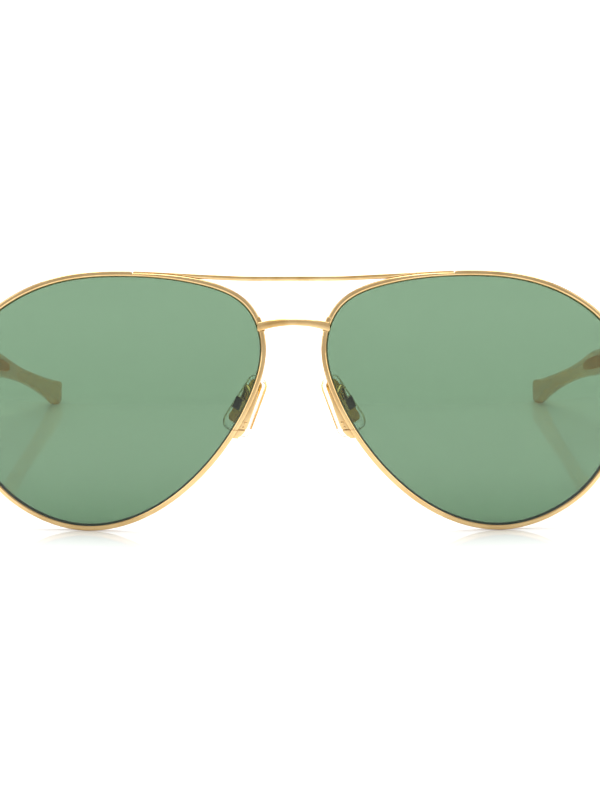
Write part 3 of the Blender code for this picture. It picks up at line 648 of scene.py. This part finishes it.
def add_brow_bar():
    """Thin bar lying in the recesses of both rims; its ends turn down into the notches."""
    half = BAR_DEPTH / 2
    widths, heights = rim_tops()
    end = BAR_END_X - 0.04
    drop = 0.45
    thin_end = 0.1
    rim_gap = 0.03
    outer = [end - drop * (1.0 - math.sin(math.pi / 2 * k / 6)) for k in range(7)]
    places = list(np.linspace(0.0, end - drop - 0.1, 60)) + outer
    places = [-x for x in reversed(places[1:])] + places
    rings = []
    for x in places:
        top = bar_top(x)
        rim_top = float(np.interp(abs(x), widths, heights, left=0.0))
        bottom = max(top - BAR_HEIGHT, rim_top + rim_gap)
        past = clamp((abs(x) - end + drop) / drop)
        top -= (top - bottom - thin_end) * (1.0 - math.sqrt(1.0 - past ** 2))
        soft = min(0.22, (top - bottom) / 2.2)
        section = rounded_polygon(((-half, bottom, soft), (-half, top, soft), (half, top, soft),
                                   (half, bottom, soft)), 4)
        rings.append([Vector((x, BAR_Y + y, z + BAR_SHEAR * y)) for y, z in section])
    piece("top_bar", loft(rings), "front", "brow_bar", [FINISH["bridge"]])


def collar(mesh, side):
    """Thin sleeve round the nose side of a rim, where the bridge is brazed on."""
    s = RIM.where(lambda u, v: abs(v - BRIDGE_END_Z + LENS_CENTRE_Z)
                  + (OUT_OF_REACH if u > 0.0 else 0.0))
    half = RIM_DEPTH / 2 + 0.06
    inner = 0.35
    proud = 0.2
    reach = 1.5
    rings = []
    for along in (-reach, -1.4, -0.7, 0.0, 0.7, 1.4, reach):
        trim = 0.1 if abs(along) == reach else 0.0
        outer = RIM_WALL + proud - trim
        section = rounded_polygon(((inner, -half + trim, 0.05), (outer, -half + trim, 0.3),
                                   (outer, half - trim, 0.3), (inner, half - trim, 0.05)))
        rings.append([rim_point(side, s + along, out, back) for out, back in section])
    return loft(rings, mesh=mesh)


def add_bridge():
    """Low arch with a sloping top, soft edges, bevelled ends and a collar on each rim."""
    mesh = bmesh.new()
    rings = []
    bevel = 0.14
    between = np.linspace(bevel - BRIDGE_HALF, BRIDGE_HALF - bevel, 65)
    for x in (-BRIDGE_HALF, *between, BRIDGE_HALF):
        share = (x / BRIDGE_HALF) ** 2
        middle = BRIDGE_END_Z + BRIDGE_RISE * (1.0 - share)
        half = 0.5 * (BRIDGE_MID_HEIGHT + (BRIDGE_END_HEIGHT - BRIDGE_MID_HEIGHT) * share)
        trim = 0.12 if abs(x) == BRIDGE_HALF else 0.0
        near = BRIDGE_FRONT_Y + trim
        far = BRIDGE_FRONT_Y + BRIDGE_DEPTH
        section = rounded_polygon(((near, trim - half, 0.28), (near, half * 0.3, 0.12),
                                   (near + 0.45, half - trim, 0.2), (far, half - trim - 0.4, 0.15),
                                   (far, trim - half, 0.15)))
        rings.append([Vector((x, y, middle + z)) for y, z in section])
    loft(rings, mesh=mesh)
    for _, side in SIDES:
        collar(mesh, side)
    piece("nose_bridge", mesh, "front", "bridge", [FINISH["bridge"]])


# ---------------------------------------------------------------- lock blocks

def block_width(share):
    """Width of the upper block, which tapers off along the rim."""
    return BLOCK_WIDTH - BLOCK_TAPER * share ** 1.4


def block_rings(side, arcs, widths, inset):
    """Rounded block sections along the rim; the ring at each end is drawn in by the inset."""
    rings = []
    for k, (s, width) in enumerate(zip(arcs, widths)):
        shrink = inset if k in (0, len(arcs) - 1) else 0.0
        inner = RIM_WALL - 0.1
        outer = RIM_WALL + GAP + width - shrink
        soft = min(0.3, width / 3)
        front = BLOCK_FRONT + shrink
        back_face = BLOCK_BACK - shrink
        section = rounded_polygon(((inner, front, 0.02), (outer, front, soft),
                                   (outer, back_face, soft), (inner, back_face, 0.02)))
        rings.append([split_point(side, s, out, back) for out, back in section])
    return rings


def add_pin(mesh, side, s, radius):
    """Small domed pin on the front of a lock block."""
    out = RIM_WALL + GAP + 0.45 * block_width(s / UPPER_BLOCK_LENGTH)
    centre = rim_point(side, s, out, BLOCK_FRONT)
    forward = (rim_point(side, s, out, BLOCK_FRONT - 1.0) - centre).normalized()
    upward = Vector((0.0, 0.0, 1.0))
    upward = (upward - forward * upward.dot(forward)).normalized()
    dome = ((1.0, -0.2), (1.0, 0.05), (0.8, 0.14), (0.3, 0.19))
    pin = turned([(share * radius, height) for share, height in dome], 20)
    placed(pin, centre, upward, forward.cross(upward), forward)
    data = bpy.data.meshes.new("pin")
    pin.to_mesh(data)
    pin.free()
    mesh.from_mesh(data)
    bpy.data.meshes.remove(data)


def add_lock(name, side):
    """The two halves of the lock block, above and below the slit."""
    start = SLIT_WIDTH / 2
    shares = [0.0, 0.01] + list(np.linspace(0.04, 0.985, 34)) + [1.0]
    arcs = [start + UPPER_BLOCK_LENGTH * share for share in shares]
    widths = [block_width(share) for share in shares]
    mesh = loft(block_rings(side, arcs, widths, inset=0.1))
    add_pin(mesh, side, 2.55, radius=0.36)
    add_pin(mesh, side, 1.55, radius=0.24)
    piece("lock_half_upper_" + name, mesh, "front", "lock_block_upper_" + name,
          [FINISH["rim"]])
    shares = [0.0, 0.06] + list(np.linspace(0.15, 0.95, 14)) + [1.0]
    arcs = [-start - LOWER_BLOCK_LENGTH * share for share in shares]
    widths = [BLOCK_WIDTH * math.sqrt(1.0 - 0.95 * share ** 2) for share in shares]
    piece("lock_half_lower_" + name, loft(block_rings(side, arcs, widths, inset=0.08)), "front",
          "lock_block_lower_" + name, [FINISH["rim"]])


# ---------------------------------------------------------------- nose pads

class PadAxes:
    """Directions of one nose pad: along it, across it front to back, and away from the nose."""

    def __init__(self, side):
        level = Vector((-PAD_LONG.z, 0.0, PAD_LONG.x))
        self.long = PAD_LONG.copy()
        self.across = Vector((0.0, math.cos(PAD_SPLAY), 0.0)) + level * math.sin(PAD_SPLAY)
        self.away = self.long.cross(self.across).normalized()
        self.centre = PAD_CENTRE.copy()
        for vector in (self.long, self.across, self.away, self.centre):
            vector.x *= side
        self.pivot = self.centre + self.away * PAD_PIVOT_OFFSET

    def place(self, mesh, origin):
        return placed(mesh, origin, self.long, self.across, self.away)


def pad_mesh():
    """Soft pad: a slab with a round edge, whose rearward wall takes the second finish, a dark painted
    refraction.
    """
    half = PAD_THICKNESS / 2
    edge_run = 0.8
    fullness = 0.55
    wall_from = 0.6
    steps = 14
    rings = []
    for k in range(steps + 1):
        angle = -math.pi / 2 + math.pi * k / steps
        inset = edge_run * (1.0 - math.cos(angle) ** fullness) if 0 < k < steps else edge_run
        outline = rounded_outline(PAD_OUTLINE, -inset, PAD_CORNER - inset)
        rings.append([(x, y, half * math.sin(angle)) for x, y in outline])
    mesh = loft(rings)
    for face in mesh.faces:
        middle = face.calc_center_median()
        if middle.y > wall_from and -0.1 * half < middle.z < 0.97 * half:
            face.material_index = 1
    return mesh


def insert_mesh():
    """Metal plate with bevelled edges."""
    bottom = INSERT_TOP - INSERT_THICKNESS
    bevel = 0.12
    rings = []
    for inset, height in ((bevel, bottom), (0.0, bottom + bevel), (0.0, INSERT_TOP - bevel),
                          (bevel, INSERT_TOP)):
        outline = rounded_outline(INSERT_OUTLINE, -inset, INSERT_CORNER - inset)
        rings.append([(x, y, height) for x, y in outline])
    return loft(rings)


def lug_mesh(mesh):
    """Tongue that rises from the insert to the pad screw, which runs through it without a bore."""
    base = INSERT_TOP - 0.15
    outline = [(-LUG_RADIUS, base), (LUG_RADIUS, base)]
    steps = 20
    for k in range(steps + 1):
        angle = math.pi * k / steps
        outline.append((LUG_RADIUS * math.cos(angle), PAD_PIVOT_OFFSET + LUG_RADIUS * math.sin(angle)))
    half = LUG_THICKNESS / 2
    return loft([[(x, y, z) for x, z in outline] for y in (-half, half)], mesh=mesh)


def add_nose_pad(name, side):
    axes = PadAxes(side)
    body = name + "_pad"
    pad = piece("silicone_pad_" + name, axes.place(pad_mesh(), axes.centre), body,
                "nose_pad_" + name,
                [FINISH["silicone"], FINISH["silicone_wall_painted_refraction"]], smooth=60.0)
    piece("pad_plate_" + name, axes.place(lug_mesh(insert_mesh()), axes.centre), body,
          "pad_insert_" + name, [FINISH["insert"]])
    add_pad_box(name, axes)
    add_pad_arm(name, side, axes)


def add_pad_box(name, axes):
    """Bent-up clamp that holds the pad's tongue, with a dark recess in its back."""
    wide = BOX_WIDTH / 2
    slot = BOX_SLOT / 2
    inside = LUG_RADIUS + GAP
    back = inside + BOX_BACK_WALL
    outline = ((-wide, -BOX_MOUTH), (-wide, back), (wide, back), (wide, -BOX_MOUTH),
               (slot, -BOX_MOUTH), (slot, inside), (-slot, inside), (-slot, -BOX_MOUTH))
    mesh = loft([[(x, y, z) for y, z in outline] for x in (-BOX_LENGTH / 2, BOX_LENGTH / 2)])
    bmesh.ops.recalc_face_normals(mesh, faces=mesh.faces)
    mesh.faces.ensure_lookup_table()
    top = max(mesh.faces, key=lambda face: face.calc_center_median().z)
    bmesh.ops.inset_individual(mesh, faces=[top], thickness=0.42, depth=-0.22)
    top.material_index = 1
    for edge in top.edges:
        for face in edge.link_faces:
            face.material_index = 1
    holder = piece("pad_clamp_" + name, axes.place(mesh, axes.pivot), "front", "pad_box_" + name,
                   [FINISH["hinge"], FINISH["recess"]])
    soften(holder, 0.14)


def add_pad_arm(name, side, axes):
    """Bent wire from the back of the upper lock block, over the pad's top, down to its box."""
    root = rim_point(side, ARM_ROOT * UPPER_BLOCK_LENGTH, RIM_WALL + GAP + 0.3, BLOCK_BACK - 0.1)
    end = axes.pivot + axes.away * ARM_HEIGHT - axes.long * (BOX_LENGTH / 2 - 0.05)
    backwards = Vector((0.0, 1.0, 0.0))
    route = (root, root + backwards * 1.35, root + backwards * 3.35 - axes.long * 0.7,
             end - axes.long * 2.6 - backwards * 0.4, end - axes.long * 1.2, end)
    places = np.linspace(0, len(route) - 1, 61)
    rows = smooth_route([(k, *point) for k, point in enumerate(route)], places)
    centres = [Vector(row[1:]) for row in rows]
    sides = 20
    angles = [2 * math.pi * j / sides for j in range(sides)]
    rings = []
    normal = Vector((0.0, 0.0, 1.0))
    for k, centre in enumerate(centres):
        along = (centres[min(k + 1, len(centres) - 1)] - centres[max(k - 1, 0)]).normalized()
        normal = (normal - along * normal.dot(along)).normalized()
        other = along.cross(normal)
        rings.append([centre + (normal * math.cos(a) + other * math.sin(a)) * ARM_RADIUS
                      for a in angles])
    piece("pad_wire_" + name, loft(rings), "front", "pad_arm_" + name,
          [FINISH["hinge"]])


# ---------------------------------------------------------------- temples

def route_frame(rows, k):
    """Centre, inward and upward directions of a route at its row k."""
    before = rows[max(k - 1, 0)]
    after = rows[min(k + 1, len(rows) - 1)]
    along = Vector((after[1] - before[1], after[0] - before[0], after[2] - before[2])).normalized()
    inward = Vector((-along.y, along.x, 0.0)).normalized()
    up = inward.cross(along).normalized()
    centre = Vector((rows[k][1], rows[k][0], rows[k][2]))
    return lean_inverse(centre), lean_inverse(inward), lean_inverse(up if up.z > 0 else -up)


def route_rings(rows, size, corner, per_corner):
    """Rounded sections along a route; size gives the half height and half thickness of a row."""
    rings = []
    for k in range(len(rows)):
        centre, inward, up = route_frame(rows, k)
        half_height, half_thickness = size(rows[k], k)
        soft = min(corner, 0.95 * half_height, 0.95 * half_thickness)
        section = rounded_rectangle(2 * half_thickness, 2 * half_height, soft, per_corner)
        rings.append([centre + inward * a + up * b for a, b in section])
    return rings


def add_temple(name, side):
    """Temple bar that thins towards the tip and runs on inside it as a core with a round end."""
    final = TEMPLE_ROUTE[-1][0]
    nose = 1.2
    thinning_from = 78.0
    thinning_run = 4.0
    core_from = 83.0
    places = list(np.linspace(TEMPLE_ROUTE[0][0], final - nose, 100))
    places += [final - nose + nose * math.sin(math.pi / 2 * k / 8) for k in range(1, 9)]
    rows = smooth_route(TEMPLE_ROUTE, places)

    def size(row, k):
        inside = clamp((row[0] - thinning_from) / thinning_run)
        thickness = BAR_THICKNESS + (CORE_THICKNESS - BAR_THICKNESS) * inside
        trim = 0.12 if k == 0 else 0.0
        end = max(0.0, (row[0] - final + nose) / nose)
        bull = math.sqrt(max(0.04, 1.0 - end ** 2))
        return row[3] / 2 * bull - trim, thickness / 2 * bull - trim * 0.7

    # Inside the tip the bar takes the core material, the gilt painted copper-brown as painted shade
    slots = [1 if place > core_from else 0 for place in places[:-1]]
    piece("temple_bar_" + name, mirrored(side, loft(route_rings(rows, size, 0.32, 6), slots=slots)),
          name + "_temple", "temple_" + name, [FINISH["temple"], FINISH["core"]])


def add_tip(name, side):
    """Acetate sleeve with a rounded mouth and a fan-shaped, sheared end that stands on the table."""
    places = list(np.linspace(TIP_ROUTE[0][0], 138.0, 70))
    places += [139.0, 140.0, 141.0, 141.7, 142.2, 142.5, 142.7, 142.8]
    rows = smooth_route(TIP_ROUTE, places)
    mouth = (0.45, 0.2, 0.08, 0.0)
    end_from = 142.0
    end_run = 0.8
    shear = 1.9
    shear_from = 132.0
    shear_run = 10.8
    shear_height = 2.5

    def size(row, k):
        trim = mouth[min(k, len(mouth) - 1)]
        end = (max(0.0, row[0] - end_from) / end_run) ** 3
        return row[3] / 2 * (1.0 - 0.1 * end) - trim, row[4] / 2 * (1.0 - 0.4 * end) - trim

    rings = route_rings(rows, size, 1.4, 9)
    for row, ring in zip(rows, rings):
        pull = max(0.0, (row[0] - shear_from) / shear_run) ** 2
        middle = sum(ring, Vector()) / len(ring)
        for k, point in enumerate(ring):
            low = max(0.0, middle.z - point.z) / shear_height
            ring[k] = point - Vector((0.0, shear * pull * low, 0.0))
    mesh = loft(rings)
    up = FRONT.inverted().to_3x3() @ Vector((0.0, 0.0, 1.0))
    for vertex in mesh.verts:
        height = (FRONT @ vertex.co).z
        if height < 0.0:
            vertex.co -= up * height
    piece("tip_sleeve_" + name, mirrored(side, mesh), name + "_temple", "temple_tip_" + name,
          [FINISH["acetate"]], 50.0)


# ---------------------------------------------------------------- frame parts that stay

def refine(node, finish, width):
    """A CAD node that stays: softened edges and its own finish."""
    kept = frame["nodes"][node]
    kept.data.materials.clear()
    kept.data.materials.append(finish)
    soften(kept, width)


def refine_hardware():
    """Finish the end pieces, hinge halves and screws."""
    for name, _ in SIDES:
        refine("end_piece_" + name, FINISH["temple"], 0.15)
        refine("front_hinge_" + name, FINISH["hinge"], 0.08)
        refine("temple_hinge_" + name, FINISH["hinge"], 0.08)
        for screw in ("lock_screw_", "pad_screw_", "hinge_screw_"):
            refine(screw + name, FINISH["screw"], 0.05)


# ---------------------------------------------------------------- stage, light and camera

# In metres and degrees
FLOOR_HALF = 6.0
FLOOR_DROP = 0.00003
BACKDROP_LEVEL = 1.35
KEY_POWER = 37.0
PANEL_POWER = 5.0
PANEL_PLACE = (1.3, -0.5, 0.7)
CAMERA_PLACE = (0.0055, -1.0318, 0.2159)
CAMERA_TURN = 0.252
CAMERA_DIP = 11.075
CAMERA_ROLL = -0.2
CAMERA_LENS = 215.6


def add_floor():
    """Smooth pale floor just under the part."""
    made, tree, shader = new_material("studio_floor")
    shader.inputs["Roughness"].default_value = 0.0
    shader.inputs["IOR"].default_value = 1.5
    tone = ramp(tree, noise(tree, scale=2.0), (0.9, 0.9, 0.9), (0.93, 0.93, 0.93))
    tree.links.new(tone, shader.inputs["Base Color"])
    mesh = bmesh.new()
    corners = ((-1, -1), (1, -1), (1, 1), (-1, 1))
    mesh.faces.new([mesh.verts.new((x * FLOOR_HALF, y * FLOOR_HALF, -FLOOR_DROP)) for x, y in corners])
    data = bpy.data.meshes.new("studio_floor")
    mesh.to_mesh(data)
    mesh.free()
    data.materials.append(made)
    floor = bpy.data.objects.new("studio_floor", data)
    bpy.context.scene.collection.objects.link(floor)


def add_area(name, place, target, width, height, power):
    """A rectangular lamp turned towards its target."""
    light = bpy.data.lights.new(name, "AREA")
    light.shape = "RECTANGLE"
    light.size = width
    light.size_y = height
    light.energy = power
    lamp = bpy.data.objects.new(name, light)
    bpy.context.scene.collection.objects.link(lamp)
    lamp.location = place
    lamp.rotation_euler = (Vector(target) - Vector(place)).to_track_quat("-Z", "Y").to_euler()


def add_world():
    """Pale room: a white backdrop behind the object, softer grey round the camera."""
    world = bpy.data.worlds.new("studio")
    bpy.context.scene.world = world
    world.use_nodes = True
    tree = world.node_tree
    place = tree.nodes.new("ShaderNodeTexCoord")
    split = tree.nodes.new("ShaderNodeSeparateXYZ")
    tree.links.new(place.outputs["Generated"], split.inputs["Vector"])
    room = tree.nodes.new("ShaderNodeValToRGB")
    steps = room.color_ramp.elements
    steps[0].position = 0.0
    steps[0].color = (0.8, 0.8, 0.8, 1.0)
    steps[1].position = 1.0
    steps[1].color = (0.9, 0.9, 0.9, 1.0)
    for position, level in ((0.15, 0.7), (0.4, 0.58), (0.7, 0.66)):
        steps.new(position).color = (level, level, level, 1.0)
    tree.links.new(split.outputs["Z"], room.inputs["Fac"])
    spans = []
    for axis, low, high in (("Y", 0.0, 0.5), ("Z", 0.5, 0.2)):
        span = tree.nodes.new("ShaderNodeMapRange")
        span.inputs["From Min"].default_value = low
        span.inputs["From Max"].default_value = high
        tree.links.new(split.outputs[axis], span.inputs["Value"])
        spans.append(span.outputs["Result"])
    behind = tree.nodes.new("ShaderNodeMath")
    behind.operation = "MULTIPLY"
    tree.links.new(spans[0], behind.inputs[0])
    tree.links.new(spans[1], behind.inputs[1])
    mix = tree.nodes.new("ShaderNodeMix")
    mix.data_type = "RGBA"
    tree.links.new(behind.outputs["Value"], mix.inputs["Factor"])
    tree.links.new(room.outputs["Color"], mix.inputs["A"])
    mix.inputs["B"].default_value = (BACKDROP_LEVEL, BACKDROP_LEVEL, BACKDROP_LEVEL, 1.0)
    tree.links.new(mix.outputs["Result"], tree.nodes["Background"].inputs["Color"])


def add_light():
    """A wide lamp overhead and a panel on each side, in front of the part."""
    add_world()
    add_area("key_overhead", (0.0, 0.35, 1.5), (0.0, 0.2, 0.0), 1.8, 1.4, KEY_POWER)
    x, y, z = PANEL_PLACE
    for label, across in (("left_panel", -x), ("right_panel", x)):
        add_area(label, (across, y, z), (0.0, 0.0, 0.03), 0.9, 1.0, PANEL_POWER)


def add_camera():
    data = bpy.data.cameras.new("camera")
    data.sensor_width = 36.0
    data.lens = CAMERA_LENS
    data.clip_start = 0.05
    data.clip_end = 20.0
    camera = bpy.data.objects.new("camera", data)
    bpy.context.scene.collection.objects.link(camera)
    camera.location = CAMERA_PLACE
    turn = Matrix.Rotation(math.radians(CAMERA_TURN), 4, "Z")
    tilt = Matrix.Rotation(math.radians(90.0 - CAMERA_DIP), 4, "X")
    roll = Matrix.Rotation(math.radians(CAMERA_ROLL), 4, "Z")
    camera.rotation_euler = (turn @ tilt @ roll).to_euler()
    bpy.context.scene.camera = camera


bpy.context.scene.view_settings.view_transform = "Standard"
add_camera()
add_brow_bar()
add_bridge()
for name, side in SIDES:
    add_rim(name, side)
    add_lens(name, side)
    add_lock(name, side)
    add_nose_pad(name, side)
    add_temple(name, side)
    add_tip(name, side)
refine_hardware()
add_floor()
add_light()
